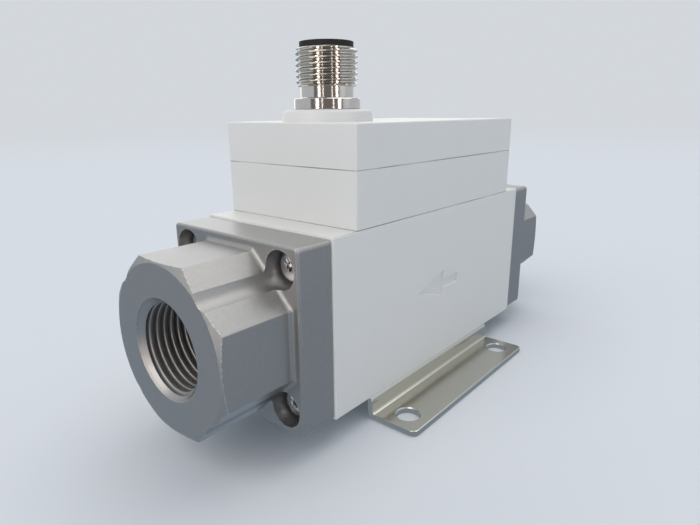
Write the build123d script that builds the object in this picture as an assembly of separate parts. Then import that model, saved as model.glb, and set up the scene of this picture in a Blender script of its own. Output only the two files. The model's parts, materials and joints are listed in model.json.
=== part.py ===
from build123d import *
from math import cos, pi, radians, sin, sqrt, tan
import os

# A vortex flow switch: a moulded body with a pipe port screwed to each end, an electronics housing
# with a round plug connector on top, and a folded foot bracket underneath.
# Millimetres. X runs along the flow passage, the flow enters at +X and leaves at -X, +Z is up, and
# z = 0 is the underside of the bracket's feet. The side with the flow arrow faces -Y.

# Foot bracket, folded from one sheet
SHEET = 1.2
BRACKET_RISE = 4.0  # clear height under the web
BRACKET_LENGTH = 48.0
BRACKET_WIDTH = 52.4
BRACKET_X = -0.75
BRACKET_INSET = 0.3  # of its walls from the body's sides
BRACKET_BEND = 0.6  # inner radius of the folds
BRACKET_CORNER = 1.3
BRACKET_EDGE = 0.2  # rounding that the plating leaves on the cut edges
FOOT_HOLE_R = 2.3
FOOT_HOLE_TO_END = 4.5
FOOT_HOLE_TO_EDGE = 4.6
BRACKET_SCREW_SPAN_X = 26.0
BRACKET_SCREW_SPAN_Y = 18.0

# Moulded body
BODY_LENGTH = 71.4
BODY_WIDTH = 33.2
BODY_HEIGHT = 33.3
BODY_EDGE = 0.4
PASSAGE_R = 6.0

# Vortex bar across the passage, a trapezium with its broad face upstream
BAR_X = 8.0
BAR_DEPTH = 3.6
BAR_FRONT = 2.6
BAR_BACK = 1.4

# Flow arrow sunk into the front side
ARROW_TIP_X = -9.8
ARROW_HEAD_LENGTH = 10.1
ARROW_SHAFT_LENGTH = 6.1
ARROW_HEAD_WIDTH = 6.1
ARROW_SHAFT_WIDTH = 2.3
ARROW_DEPTH = 0.6
ARROW_DRAFT = 25.0  # of its walls, in degrees

# Die-cast ports
PLATE_INSET = 0.25  # of the square plate inside the body's outline
PLATE_THICKNESS = 7.75
PLATE_CORNER = 0.8
PLATE_EDGE = 0.5
JOINT_CHAMFER = 0.3  # round the back of the plate
HUB_INSET = 1.85  # of the hub's flats inside the plate's edge
HUB_LENGTH = 13.85
HUB_FLAT_WIDTH = 12.0
HUB_RIDGE = 0.35  # radius of the ridges beside the flats
HUB_ROOT = 0.8  # fillet where the hub meets the plate
FACE_INSET = 0.3  # of the turned face's flat inside the hub's flats
FACE_ANGLE = 25.0  # of the cone round that flat, in degrees
THREAD_R = 8.33  # major radius of the pipe thread
THREAD_DEPTH = 14.0
MOUTH_CHAMFER = 0.37
PORT_SCREW_TO_EDGE = 4.1  # from the plate's sides
COUNTERBORE_R = 3.3
COUNTERBORE_DEPTH = 4.3

# Flow straightener, a honeycomb disc let into the inlet port
STRAIGHTENER_LEDGE = 0.9  # wider than the passage
STRAIGHTENER_THICKNESS = 3.0
CELL_FLATS = 2.0
CELL_WALL = 0.45

# Ring seals between the body and the ports
PORT_SEAL_LAND = 0.8  # between the straightener's seat and the seal
PORT_SEAL_WIDTH = 1.8
PORT_SEAL_HEIGHT = 1.3
SEAL_CHAMFER = 0.25

# Electronics housing
HOUSING_LENGTH = 59.2
CASE_HEIGHT = 10.05
COVER_HEIGHT = 7.6
WALL = 3.0
FLOOR = 2.2
ROOF = 2.2
HOUSING_EDGE = 0.35  # upright edges
COVER_EDGE = 0.25  # round the top face
CAVITY_CORNER = 1.5
SEAM_CHAMFER = 0.1
LIP_THICKNESS = 0.8
LIP_DEPTH = 1.5
GASKET_WIDTH = 1.2
GASKET_HEIGHT = 1.0
GASKET_INSET = 0.9  # from the housing's outside
GASKET_CORNER = 1.5

# Collar on the cover, under the connector
CONNECTOR_TO_END = 11.4  # from the housing's end
COLLAR_BASE_R = 8.85
COLLAR_TOP_R = 8.45
COLLAR_HEIGHT = 2.2
COLLAR_EDGE = 0.8

# Plug connector, M12 outside
SHELL_BORE_R = 4.4
SHELL_STEM_WALL = 0.55
SHELL_NECK_WALL = 0.67
SHELL_NECK_HEIGHT = 2.1
SHELL_THREAD_R = 5.95
SHELL_THREAD_LENGTH = 6.85
SHELL_CHAMFER = 0.6
SHELL_FLANGE_OVERLAP = 0.3  # of the flange beyond the seal
SHELL_FLANGE_HEIGHT = 2.05
SHELL_FLANGE_CHAMFER = 0.25
SHELL_TAIL = 0.8  # below the nut
NUT_WALL = 1.55  # from the stem to the middle of a flat
NUT_HEIGHT = 2.5
CONNECTOR_SEAL_WIDTH = 1.05
CONNECTOR_SEAL_HEIGHT = 1.0
RIM_OVERLAP = 0.7  # of the insert's rim over the shell's end
RIM_HEIGHT = 1.1
SOCKET_WALL = 0.35
SOCKET_DEPTH = 8.0
KEY_WIDTH = 1.0
KEY_HEIGHT = 0.6
PIN_R = 0.5
PIN_CIRCLE_R = 2.3
PIN_COUNT = 4
PIN_BELOW_RIM = 1.2
PIN_POINT = 0.25

# Circuit boards
POST_R = 2.3
POST_HEIGHT = 4.0
POST_SPAN = 20.0  # along the housing
BOARD_THICKNESS = 1.6
BOARD_MARGIN = 1.4  # to the case walls
BOARD_CORNER = 1.5
CONNECTOR_BOARD_LENGTH = 12.0
CONNECTOR_BOARD_THICKNESS = 1.0
CONNECTOR_BOARD_MARGIN = 0.2  # beside the header
HEADER_WIDTH = 2.0
HEADER_GAP = 0.3  # from the header's contacts to the connector's stem
LINK_PIN_R = 0.3
LINK_PITCH = 2.54
PIN_TAIL = 0.4  # of soldered pins beyond their board

# Chips on the main board: length, width and height
PROCESSOR = (7.0, 7.0, 1.2)
AMPLIFIER = (5.0, 4.0, 1.5)
REGULATOR = (6.5, 3.6, 1.6)
SMALL_CHIP = (1.25, 2.0, 0.6)
SMALL_CHIP_COUNT = 5
CAPACITOR_R = 2.5
CAPACITOR_HEIGHT = 4.0
CHIP_GAP = 1.0

# Sensor in the body, downstream of the bar
SENSOR_X = 0.0
HOLDER_R = 5.0
HOLDER_FLANGE_R = 7.5
HOLDER_FLANGE_HEIGHT = 2.0
HOLDER_BORE_R = 3.0
HOLDER_FLOOR = 2.0
BLADE_LENGTH = 5.0
BLADE_THICKNESS = 1.6
BLADE_REACH = 7.5  # below the top of the passage
BLADE_TIP = 1.2  # solid end of the blade below the element
SENSOR_SEAL_DEPTH = 1.0
SENSOR_SEAL_HEIGHT = 1.8
ELEMENT_LENGTH = 3.0
ELEMENT_THICKNESS = 0.6
ELEMENT_ABOVE = 3.0  # stands above the holder's floor
LEAD_R = 0.25
LEAD_PITCH = 2.0
CLAMP_THICKNESS = 1.5
CLAMP_WIDTH = 11.0
CLAMP_HOLE_R = 2.6
CLAMP_CORNER = 2.0
OPENING_MARGIN = 1.0  # round the clamp, in the case floor
SCREW_WALL = 1.0  # from a screw to the next hole

# Screws: radius and length of the shank, radius and height of the pan head
M3_R = 1.5
M3_HEAD_R = 2.8
M3_HEAD_HEIGHT = 2.0
M25_R = 1.25
M25_HEAD_R = 2.4
M25_HEAD_HEIGHT = 1.6
PORT_SCREW_LENGTH = 12.0
BRACKET_SCREW_LENGTH = 8.0
CASE_SCREW_LENGTH = 8.0
BOARD_SCREW_LENGTH = 5.0
SENSOR_SCREW_LENGTH = 7.0
SCREW_TIP = 0.4
HEAD_ROUND = 0.6  # of the head's height
HOLE_SPARE = 0.5  # blind holes go on past the screw's tip

# Clearances
FIT = 0.05  # radial, round screws in their threads and pieces pressed home
PASS = 0.2  # radial, where a screw passes through
SLIDE = 0.1  # beside the cover's lip, the seals and the straightener

# Levels
BODY_Z = BRACKET_RISE + SHEET
AXIS_Z = BODY_Z + BODY_HEIGHT / 2
CASE_Z = BODY_Z + BODY_HEIGHT
COVER_Z = CASE_Z + CASE_HEIGHT
TOP_Z = COVER_Z + COVER_HEIGHT
COLLAR_Z = TOP_Z + COLLAR_HEIGHT
ROOF_Z = TOP_Z - ROOF
NECK_Z = COLLAR_Z + SHELL_FLANGE_HEIGHT
THREAD_Z = NECK_Z + SHELL_NECK_HEIGHT
SHELL_TOP_Z = THREAD_Z + SHELL_THREAD_LENGTH
RIM_Z = SHELL_TOP_Z + RIM_HEIGHT
SHELL_END_Z = ROOF_Z - NUT_HEIGHT - SHELL_TAIL
CONNECTOR_BOARD_Z = SHELL_END_Z - CONNECTOR_BOARD_THICKNESS
CASE_FLOOR_Z = CASE_Z + FLOOR
BOARD_Z = CASE_FLOOR_Z + POST_HEIGHT
BOARD_TOP_Z = BOARD_Z + BOARD_THICKNESS

# Places worked out from the sizes
END_X = BODY_LENGTH / 2
PORT_LENGTH = PLATE_THICKNESS + HUB_LENGTH
PLATE_SIZE = min(BODY_WIDTH, BODY_HEIGHT) - 2 * PLATE_INSET
PORT_SCREW_OFFSET = PLATE_SIZE / 2 - PORT_SCREW_TO_EDGE
HUB_FLATS = PLATE_SIZE - 2 * HUB_INSET
FACE_R = HUB_FLATS / 2 - FACE_INSET
STRAIGHTENER_R = PASSAGE_R + STRAIGHTENER_LEDGE
PORT_SEAL_R = STRAIGHTENER_R + SLIDE + PORT_SEAL_LAND + PORT_SEAL_WIDTH / 2
CONNECTOR_X = CONNECTOR_TO_END - HOUSING_LENGTH / 2
CAVITY_LENGTH = HOUSING_LENGTH - 2 * WALL
CAVITY_WIDTH = BODY_WIDTH - 2 * WALL
BOARD_LENGTH = CAVITY_LENGTH - 2 * BOARD_MARGIN
BOARD_WIDTH = CAVITY_WIDTH - 2 * BOARD_MARGIN
INSERT_R = SHELL_BORE_R - FIT
SOCKET_R = INSERT_R - SOCKET_WALL
RIM_R = SHELL_BORE_R + RIM_OVERLAP
SHELL_STEM_R = SHELL_BORE_R + SHELL_STEM_WALL
SHELL_NECK_R = SHELL_BORE_R + SHELL_NECK_WALL
CONNECTOR_SEAL_R = SHELL_STEM_R + FIT + CONNECTOR_SEAL_WIDTH
SHELL_FLANGE_R = CONNECTOR_SEAL_R + SHELL_FLANGE_OVERLAP
HEADER_Y = SHELL_STEM_R + HEADER_GAP + LINK_PIN_R
CONNECTOR_BOARD_WIDTH = 2 * (HEADER_Y + HEADER_WIDTH / 2 + CONNECTOR_BOARD_MARGIN)
SENSOR_SCREW_X = HOLDER_FLANGE_R + SLIDE + SCREW_WALL + M25_R
CLAMP_LENGTH = 2 * (SENSOR_SCREW_X + M25_HEAD_R + SLIDE)
OPENING_LENGTH = CLAMP_LENGTH + 2 * OPENING_MARGIN
OPENING_WIDTH = CLAMP_WIDTH + 2 * OPENING_MARGIN
POST_X = POST_SPAN / 2
POST_Y = BOARD_WIDTH / 2 - M25_HEAD_R
CASE_SCREW_X = CAVITY_LENGTH / 2 - M25_HEAD_R - 2 * PASS
CASE_SCREW_Y = PORT_SCREW_OFFSET - M3_R - SCREW_WALL - M25_R
HOLDER_END_Z = AXIS_Z + PASSAGE_R
BLADE_END_Z = HOLDER_END_Z - BLADE_REACH
HOLDER_FLOOR_Z = HOLDER_END_Z + HOLDER_FLOOR
SENSOR_SEAL_Z = (HOLDER_FLOOR_Z + CASE_Z - HOLDER_FLANGE_HEIGHT) / 2
ELEMENT_END_Z = BLADE_END_Z + BLADE_TIP
ELEMENT_TOP_Z = HOLDER_FLOOR_Z + ELEMENT_ABOVE


def cylinder(radius, low, high, x=0, y=0):
    """Upright cylinder between two heights."""
    return Pos(x, y, low) * Cylinder(radius, high - low, align=(Align.CENTER, Align.CENTER, Align.MIN))


def taper(low_r, high_r, low, high):
    """Upright cone between two heights."""
    return Pos(0, 0, low) * Cone(low_r, high_r, high - low, align=(Align.CENTER, Align.CENTER, Align.MIN))


def block(length, width, low, high, corner=0, x=0, y=0):
    """Upright block between two heights, with rounded upright edges."""
    outline = RectangleRounded(length, width, corner) if corner else Rectangle(length, width)
    return Pos(x, y, low) * extrude(outline, high - low)


def frame_of(length, width, wall, low, high, corner):
    """Upright rectangular ring of one wall thickness."""
    inside = block(length - 2 * wall, width - 2 * wall, low, high, max(corner - wall, wall / 2))
    return block(length, width, low, high, corner) - inside


def ring_seal(inner, outer, low, high):
    """Seal with a chamfered rectangular section, about the Z axis."""
    section = Rectangle(outer - inner, high - low)
    section = chamfer(section.vertices(), SEAL_CHAMFER)
    return revolve(Plane.XZ * Pos((inner + outer) / 2, (low + high) / 2) * section, Axis.Z)


def four_places(x, y):
    """The four corners of a rectangle about the origin."""
    return [(sx * x, sy * y) for sx in (-1, 1) for sy in (-1, 1)]


def pan_screw(radius, length, head_r, head_height):
    """Screw with its seat at z = 0, its head above and its shank below."""
    head = cylinder(head_r, 0, head_height)
    head = fillet(head.edges().group_by(Axis.Z)[-1], HEAD_ROUND * head_height)
    shank = cylinder(radius, -length, 0)
    shank = chamfer(shank.edges().group_by(Axis.Z)[0], SCREW_TIP)
    return head + shank


def group(solids):
    """Several separate solids as one node."""
    return Compound(children=[Part(solid.wrapped) for solid in solids])


def at_end(side):
    """Puts what was drawn about Z on the flow axis at one end of the body, pointing outwards."""
    return Pos(side * END_X, 0, AXIS_Z) * Rot(0, side * 90, 0)


def sensor_place():
    return Pos(SENSOR_X, 0, 0)


def connector_place():
    return Pos(CONNECTOR_X, 0, 0)


def bracket_screw_places():
    half_x = BRACKET_SCREW_SPAN_X / 2
    half_y = BRACKET_SCREW_SPAN_Y / 2
    return [(BRACKET_X + x, y) for x, y in four_places(half_x, half_y)]


def arrow():
    """The sunk arrow, drawn on the front side and pointing downstream."""
    neck_x = ARROW_TIP_X + ARROW_HEAD_LENGTH
    tail_x = neck_x + ARROW_SHAFT_LENGTH
    head = ARROW_HEAD_WIDTH / 2
    shaft = ARROW_SHAFT_WIDTH / 2
    outline = Polygon(
        (ARROW_TIP_X, 0), (neck_x, -head), (neck_x, -shaft), (tail_x, -shaft),
        (tail_x, shaft), (neck_x, shaft), (neck_x, head), align=None,
    )
    front = Plane(origin=(0, -BODY_WIDTH / 2, AXIS_Z), x_dir=(1, 0, 0), z_dir=(0, -1, 0))
    return extrude(front * outline, -ARROW_DEPTH, taper=ARROW_DRAFT)


def vortex_bar():
    """Upright trapezium bar, longer than the passage is high."""
    upstream = BAR_X + BAR_DEPTH / 2
    downstream = BAR_X - BAR_DEPTH / 2
    outline = Polygon(
        (upstream, -BAR_FRONT / 2), (upstream, BAR_FRONT / 2),
        (downstream, BAR_BACK / 2), (downstream, -BAR_BACK / 2), align=None,
    )
    return Pos(0, 0, AXIS_Z - 2 * PASSAGE_R) * extrude(outline, 4 * PASSAGE_R)


def flow_body():
    body = block(BODY_LENGTH, BODY_WIDTH, BODY_Z, CASE_Z)
    body = fillet(body.edges(), BODY_EDGE)
    passage = Pos(0, 0, AXIS_Z) * Rot(0, 90, 0) * Cylinder(PASSAGE_R, BODY_LENGTH)
    body -= passage - vortex_bar()

    # Seal glands and blind screw holes in both ends
    gland = cylinder(PORT_SEAL_R + PORT_SEAL_WIDTH / 2 + SLIDE, -PORT_SEAL_HEIGHT, 0)
    gland -= cylinder(PORT_SEAL_R - PORT_SEAL_WIDTH / 2 - SLIDE, -PORT_SEAL_HEIGHT, 0)
    grip = PORT_SCREW_LENGTH - (PLATE_THICKNESS - COUNTERBORE_DEPTH) + HOLE_SPARE
    for side in (-1, 1):
        body -= at_end(side) * gland
        for x, y in four_places(PORT_SCREW_OFFSET, PORT_SCREW_OFFSET):
            body -= at_end(side) * cylinder(M3_R + FIT, -grip, 0, x, y)

    # Sensor pocket from the top down into the passage
    pocket = cylinder(HOLDER_FLANGE_R + SLIDE, CASE_Z - HOLDER_FLANGE_HEIGHT, CASE_Z)
    pocket += cylinder(HOLDER_R + FIT, AXIS_Z, CASE_Z)
    body -= sensor_place() * pocket
    deep = SENSOR_SCREW_LENGTH - CLAMP_THICKNESS + HOLE_SPARE
    for side in (-1, 1):
        body -= cylinder(M25_R + FIT, CASE_Z - deep, CASE_Z, SENSOR_X + side * SENSOR_SCREW_X)

    deep = CASE_SCREW_LENGTH - FLOOR + HOLE_SPARE
    for x, y in four_places(CASE_SCREW_X, CASE_SCREW_Y):
        body -= cylinder(M25_R + FIT, CASE_Z - deep, CASE_Z, x, y)
    deep = BRACKET_SCREW_LENGTH - SHEET + HOLE_SPARE
    for x, y in bracket_screw_places():
        body -= cylinder(M3_R + FIT, BODY_Z, BODY_Z + deep, x, y)
    return body - arrow()


def hub_outline():
    """Four flats joined by broad diagonal facets."""
    flat = HUB_FLATS / 2
    ridge = HUB_FLAT_WIDTH / 2
    corners = []
    for quarter in range(4):
        turn = quarter * pi / 2
        for x, y in ((flat, -ridge), (flat, ridge)):
            corners.append((x * cos(turn) - y * sin(turn), x * sin(turn) + y * cos(turn)))
    return Polygon(*corners, align=None)


def port(recess_r=0, recess_depth=0):
    """Port with its back face at z = 0 and its axis on Z, pointing outwards."""
    plate = block(PLATE_SIZE, PLATE_SIZE, 0, PLATE_THICKNESS, PLATE_CORNER)
    plate = fillet(plate.edges().group_by(Axis.Z)[-1], PLATE_EDGE)
    plate = chamfer(plate.edges().group_by(Axis.Z)[0], JOINT_CHAMFER)

    # The turned face cuts a cone off the hub's ridges
    hub = Pos(0, 0, PLATE_THICKNESS / 2) * extrude(hub_outline(), PORT_LENGTH - PLATE_THICKNESS / 2)
    hub = fillet(hub.edges().filter_by(Axis.Z), HUB_RIDGE)
    ridge_r = sqrt(HUB_FLATS**2 + HUB_FLAT_WIDTH**2) / 2
    cone_depth = (ridge_r - FACE_R) * tan(radians(FACE_ANGLE))
    turned = cylinder(ridge_r, 0, PORT_LENGTH - cone_depth)
    hub &= turned + taper(ridge_r, FACE_R, PORT_LENGTH - cone_depth, PORT_LENGTH)
    casting = plate + hub
    casting = fillet(new_edges(plate, hub, combined=casting), HUB_ROOT)

    # Counterbores run out along the hub and groove its diagonal facets
    seat = PLATE_THICKNESS - COUNTERBORE_DEPTH
    for x, y in four_places(PORT_SCREW_OFFSET, PORT_SCREW_OFFSET):
        casting -= cylinder(COUNTERBORE_R, seat, PORT_LENGTH, x, y)
        casting -= cylinder(M3_R + PASS, 0, seat, x, y)

    casting -= cylinder(PASSAGE_R, 0, PORT_LENGTH)
    casting -= cylinder(THREAD_R, PORT_LENGTH - THREAD_DEPTH, PORT_LENGTH)
    casting -= taper(THREAD_R, THREAD_R + MOUTH_CHAMFER, PORT_LENGTH - MOUTH_CHAMFER, PORT_LENGTH)
    if recess_r:
        casting -= cylinder(recess_r, 0, recess_depth)
    return casting


def flow_straightener():
    """Honeycomb disc: cells wherever a whole one fits inside the rim."""
    pitch = CELL_FLATS + CELL_WALL
    cell_r = CELL_FLATS / sqrt(3)
    reach = int(STRAIGHTENER_R / pitch) + 1
    places = []
    for row in range(-reach, reach + 1):
        for column in range(-reach, reach + 1):
            x = pitch * row * cos(radians(30))
            y = pitch * (column + row / 2)
            if sqrt(x * x + y * y) + cell_r < STRAIGHTENER_R - CELL_WALL / 2:
                places.append(Pos(x, y))
    cells = Sketch() + [place * RegularPolygon(cell_r, 6) for place in places]
    disc = Circle(STRAIGHTENER_R) - cells
    return at_end(1) * extrude(disc, STRAIGHTENER_THICKNESS)


def port_seal(side):
    inner = PORT_SEAL_R - PORT_SEAL_WIDTH / 2
    outer = PORT_SEAL_R + PORT_SEAL_WIDTH / 2
    return at_end(side) * ring_seal(inner, outer, -PORT_SEAL_HEIGHT, 0)


def port_screws(side):
    seat = PLATE_THICKNESS - COUNTERBORE_DEPTH
    screw = pan_screw(M3_R, PORT_SCREW_LENGTH, M3_HEAD_R, M3_HEAD_HEIGHT)
    places = four_places(PORT_SCREW_OFFSET, PORT_SCREW_OFFSET)
    return group([at_end(side) * Pos(x, y, seat) * screw for x, y in places])


def mounting_bracket():
    """Hat section folded from one sheet, drilled in the feet and the web."""
    wall_y = BODY_WIDTH / 2 - BRACKET_INSET
    half = BRACKET_WIDTH / 2
    route = [(half, SHEET / 2), (wall_y - SHEET / 2, SHEET / 2)]
    route += [(wall_y - SHEET / 2, BODY_Z - SHEET / 2)]
    path = FilletPolyline(
        *route, *[(-y, z) for y, z in reversed(route)], radius=BRACKET_BEND + SHEET / 2
    )
    side_on = Plane(origin=(BRACKET_X - BRACKET_LENGTH / 2, 0, 0), x_dir=(0, 1, 0), z_dir=(1, 0, 0))
    bracket = extrude(side_on * trace(path, SHEET), BRACKET_LENGTH)
    corners = bracket.edges().filter_by(Axis.Z).group_by(lambda edge: abs(edge.center().Y))[-1]
    bracket = fillet(corners, BRACKET_CORNER)
    ends = bracket.faces().filter_by(Axis.X).edges().filter_by(Axis.Z, reverse=True)
    tips = bracket.faces().filter_by(Axis.Y).group_by(lambda face: abs(face.center().Y))[-1]
    bracket = fillet(ends + tips.edges().filter_by(Axis.X), BRACKET_EDGE)

    hole_x = BRACKET_LENGTH / 2 - FOOT_HOLE_TO_END
    hole_y = half - FOOT_HOLE_TO_EDGE
    for x, y in four_places(hole_x, hole_y):
        bracket -= cylinder(FOOT_HOLE_R, 0, SHEET, BRACKET_X + x, y)
        edge_r = FOOT_HOLE_R + BRACKET_EDGE
        bracket -= Pos(BRACKET_X + x, y) * taper(FOOT_HOLE_R, edge_r, SHEET - BRACKET_EDGE, SHEET)
    for x, y in bracket_screw_places():
        bracket -= cylinder(M3_R + PASS, BRACKET_RISE, BODY_Z, x, y)
    return bracket


def bracket_screws():
    screw = Rot(180, 0, 0) * pan_screw(M3_R, BRACKET_SCREW_LENGTH, M3_HEAD_R, M3_HEAD_HEIGHT)
    return group([Pos(x, y, BRACKET_RISE) * screw for x, y in bracket_screw_places()])


def gasket(low):
    """Rectangular gasket under a housing part."""
    return frame_of(
        HOUSING_LENGTH - 2 * GASKET_INSET, BODY_WIDTH - 2 * GASKET_INSET,
        GASKET_WIDTH, low, low + GASKET_HEIGHT, GASKET_CORNER,
    )


def electronics_case():
    """Open tray on the body, with posts for the board and an opening over the sensor."""
    case = block(HOUSING_LENGTH, BODY_WIDTH, CASE_Z, COVER_Z, HOUSING_EDGE)
    ends = case.edges().group_by(Axis.Z)
    case = chamfer(ends[-1] + ends[0], SEAM_CHAMFER)
    case -= block(CAVITY_LENGTH, CAVITY_WIDTH, CASE_FLOOR_Z, COVER_Z, CAVITY_CORNER)
    for x, y in four_places(POST_X, POST_Y):
        case += cylinder(POST_R, CASE_FLOOR_Z, BOARD_Z, x, y)
        grip = BOARD_SCREW_LENGTH - BOARD_THICKNESS + HOLE_SPARE
        case -= cylinder(M25_R + FIT, BOARD_Z - grip, BOARD_Z, x, y)
    for x, y in four_places(CASE_SCREW_X, CASE_SCREW_Y):
        case -= cylinder(M25_R + PASS, CASE_Z, CASE_FLOOR_Z, x, y)
    case -= block(OPENING_LENGTH, OPENING_WIDTH, CASE_Z, CASE_FLOOR_Z, CLAMP_CORNER, SENSOR_X)
    return case - gasket(CASE_Z) - gasket(COVER_Z - GASKET_HEIGHT)


def top_cover():
    """Lid with a lip inside the case and a round collar for the connector."""
    cover = block(HOUSING_LENGTH, BODY_WIDTH, COVER_Z, TOP_Z, HOUSING_EDGE)
    cover = fillet(cover.edges().group_by(Axis.Z)[-1], COVER_EDGE)
    cover = chamfer(cover.edges().group_by(Axis.Z)[0], SEAM_CHAMFER)
    collar = taper(COLLAR_BASE_R, COLLAR_TOP_R, TOP_Z, COLLAR_Z)
    cover += connector_place() * fillet(collar.edges().group_by(Axis.Z)[-1], COLLAR_EDGE)

    lip_length = CAVITY_LENGTH - 2 * SLIDE
    lip_width = CAVITY_WIDTH - 2 * SLIDE
    cover += block(lip_length, lip_width, COVER_Z - LIP_DEPTH, COVER_Z, CAVITY_CORNER)
    cover -= block(
        lip_length - 2 * LIP_THICKNESS, lip_width - 2 * LIP_THICKNESS,
        COVER_Z - LIP_DEPTH, ROOF_Z, max(CAVITY_CORNER - LIP_THICKNESS, LIP_THICKNESS / 2),
    )
    stem_hole = cylinder(SHELL_STEM_R + FIT, ROOF_Z, COLLAR_Z)
    stem_hole += cylinder(CONNECTOR_SEAL_R, COLLAR_Z - CONNECTOR_SEAL_HEIGHT, COLLAR_Z)
    return cover - connector_place() * stem_hole


def connector_shell():
    """Turned shell: stem through the cover, flange, plain neck and the plug's thread."""
    flange = cylinder(SHELL_FLANGE_R, COLLAR_Z, NECK_Z)
    flange = chamfer(flange.edges(), SHELL_FLANGE_CHAMFER)
    thread = cylinder(SHELL_THREAD_R, THREAD_Z, SHELL_TOP_Z)
    thread = chamfer(thread.edges(), SHELL_CHAMFER)
    shell = cylinder(SHELL_STEM_R, SHELL_END_Z, COLLAR_Z) + flange
    shell += cylinder(SHELL_NECK_R, NECK_Z, THREAD_Z) + thread
    return connector_place() * (shell - cylinder(SHELL_BORE_R, SHELL_END_Z, SHELL_TOP_Z))


def connector_nut():
    """Hexagon nut under the roof, with two flats across the housing."""
    outline = RegularPolygon(SHELL_STEM_R + NUT_WALL, 6, major_radius=False, rotation=30)
    outline -= Circle(SHELL_STEM_R + FIT)
    return Pos(CONNECTOR_X, 0, ROOF_Z - NUT_HEIGHT) * extrude(outline, NUT_HEIGHT)


def connector_seal():
    return connector_place() * ring_seal(
        SHELL_STEM_R + FIT, CONNECTOR_SEAL_R, COLLAR_Z - CONNECTOR_SEAL_HEIGHT, COLLAR_Z
    )


def pin_places():
    """The contacts stand evenly on a circle, the first one half a step from the X axis."""
    turns = [2 * pi * (n + 0.5) / PIN_COUNT for n in range(PIN_COUNT)]
    return [(PIN_CIRCLE_R * cos(turn), PIN_CIRCLE_R * sin(turn)) for turn in turns]


def connector_insert():
    """Moulded insert: a rim on the shell's end, a keyed socket and a web that holds the contacts."""
    insert = cylinder(INSERT_R, SHELL_END_Z, SHELL_TOP_Z) + cylinder(RIM_R, SHELL_TOP_Z, RIM_Z)
    insert -= cylinder(SOCKET_R, RIM_Z - SOCKET_DEPTH, RIM_Z)
    key_y = -SOCKET_R + KEY_HEIGHT / 2
    insert += block(KEY_WIDTH, KEY_HEIGHT + SLIDE, RIM_Z - SOCKET_DEPTH, RIM_Z - RIM_HEIGHT, y=key_y)
    for x, y in pin_places():
        insert -= cylinder(PIN_R, SHELL_END_Z, RIM_Z - SOCKET_DEPTH, x, y)
    return connector_place() * insert


def connector_pins():
    pin = cylinder(PIN_R, CONNECTOR_BOARD_Z - PIN_TAIL, RIM_Z - PIN_BELOW_RIM)
    pin = chamfer(pin.edges().group_by(Axis.Z)[-1], PIN_POINT)
    return group([connector_place() * Pos(x, y, 0) * pin for x, y in pin_places()])


def link_places():
    """Contacts of the header between the two boards."""
    return [(CONNECTOR_X + LINK_PITCH * (n - (PIN_COUNT - 1) / 2), HEADER_Y) for n in range(PIN_COUNT)]


def connector_board():
    board = block(
        CONNECTOR_BOARD_LENGTH, CONNECTOR_BOARD_WIDTH, CONNECTOR_BOARD_Z, SHELL_END_Z,
        BOARD_CORNER, CONNECTOR_X,
    )
    for x, y in pin_places():
        board -= cylinder(PIN_R, CONNECTOR_BOARD_Z, SHELL_END_Z, CONNECTOR_X + x, y)
    for x, y in link_places():
        board -= cylinder(LINK_PIN_R, CONNECTOR_BOARD_Z, SHELL_END_Z, x, y)
    return board


def link_header():
    header = block(
        PIN_COUNT * LINK_PITCH, HEADER_WIDTH, BOARD_TOP_Z, CONNECTOR_BOARD_Z, x=CONNECTOR_X, y=HEADER_Y
    )
    for x, y in link_places():
        header -= cylinder(LINK_PIN_R, BOARD_TOP_Z, CONNECTOR_BOARD_Z, x, y)
    return header


def link_pins():
    high = SHELL_END_Z + PIN_TAIL
    return group([cylinder(LINK_PIN_R, BOARD_Z - PIN_TAIL, high, x, y) for x, y in link_places()])


def lead_places():
    return [SENSOR_X + side * LEAD_PITCH / 2 for side in (-1, 1)]


def main_board():
    board = block(BOARD_LENGTH, BOARD_WIDTH, BOARD_Z, BOARD_TOP_Z, BOARD_CORNER)
    for x, y in four_places(POST_X, POST_Y):
        board -= cylinder(M25_R + PASS, BOARD_Z, BOARD_TOP_Z, x, y)
    for x, y in link_places():
        board -= cylinder(LINK_PIN_R, BOARD_Z, BOARD_TOP_Z, x, y)
    for x in lead_places():
        board -= cylinder(LEAD_R, BOARD_Z, BOARD_TOP_Z, x)
    return board


def chip(size, x, y):
    length, width, height = size
    return block(length, width, BOARD_TOP_Z, BOARD_TOP_Z + height, x=x, y=y)


def board_chips():
    """Signal chips beside the sensor's leads, power parts beyond the screws, and a row of small parts."""
    beside = LEAD_PITCH / 2 + CHIP_GAP
    processor_x = SENSOR_X + beside + PROCESSOR[0] / 2
    amplifier_x = SENSOR_X - beside - AMPLIFIER[0] / 2
    power_x = POST_X + M25_HEAD_R + CHIP_GAP + REGULATOR[0] / 2
    capacitor_y = CHIP_GAP / 2 + CAPACITOR_R
    small_pitch = SMALL_CHIP[0] + CHIP_GAP
    small_x = SENSOR_X - small_pitch * (SMALL_CHIP_COUNT - 1) / 2
    small_y = -PROCESSOR[1] / 2 - CHIP_GAP - SMALL_CHIP[1] / 2
    chips = [
        chip(PROCESSOR, processor_x, 0),
        chip(AMPLIFIER, amplifier_x, 0),
        chip(REGULATOR, power_x, -(CHIP_GAP + REGULATOR[1]) / 2),
        cylinder(CAPACITOR_R, BOARD_TOP_Z, BOARD_TOP_Z + CAPACITOR_HEIGHT, power_x, capacitor_y),
    ]
    chips += [chip(SMALL_CHIP, small_x + small_pitch * n, small_y) for n in range(SMALL_CHIP_COUNT)]
    return group(chips)


def board_screws():
    screw = pan_screw(M25_R, BOARD_SCREW_LENGTH, M25_HEAD_R, M25_HEAD_HEIGHT)
    return group([Pos(x, y, BOARD_TOP_Z) * screw for x, y in four_places(POST_X, POST_Y)])


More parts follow.
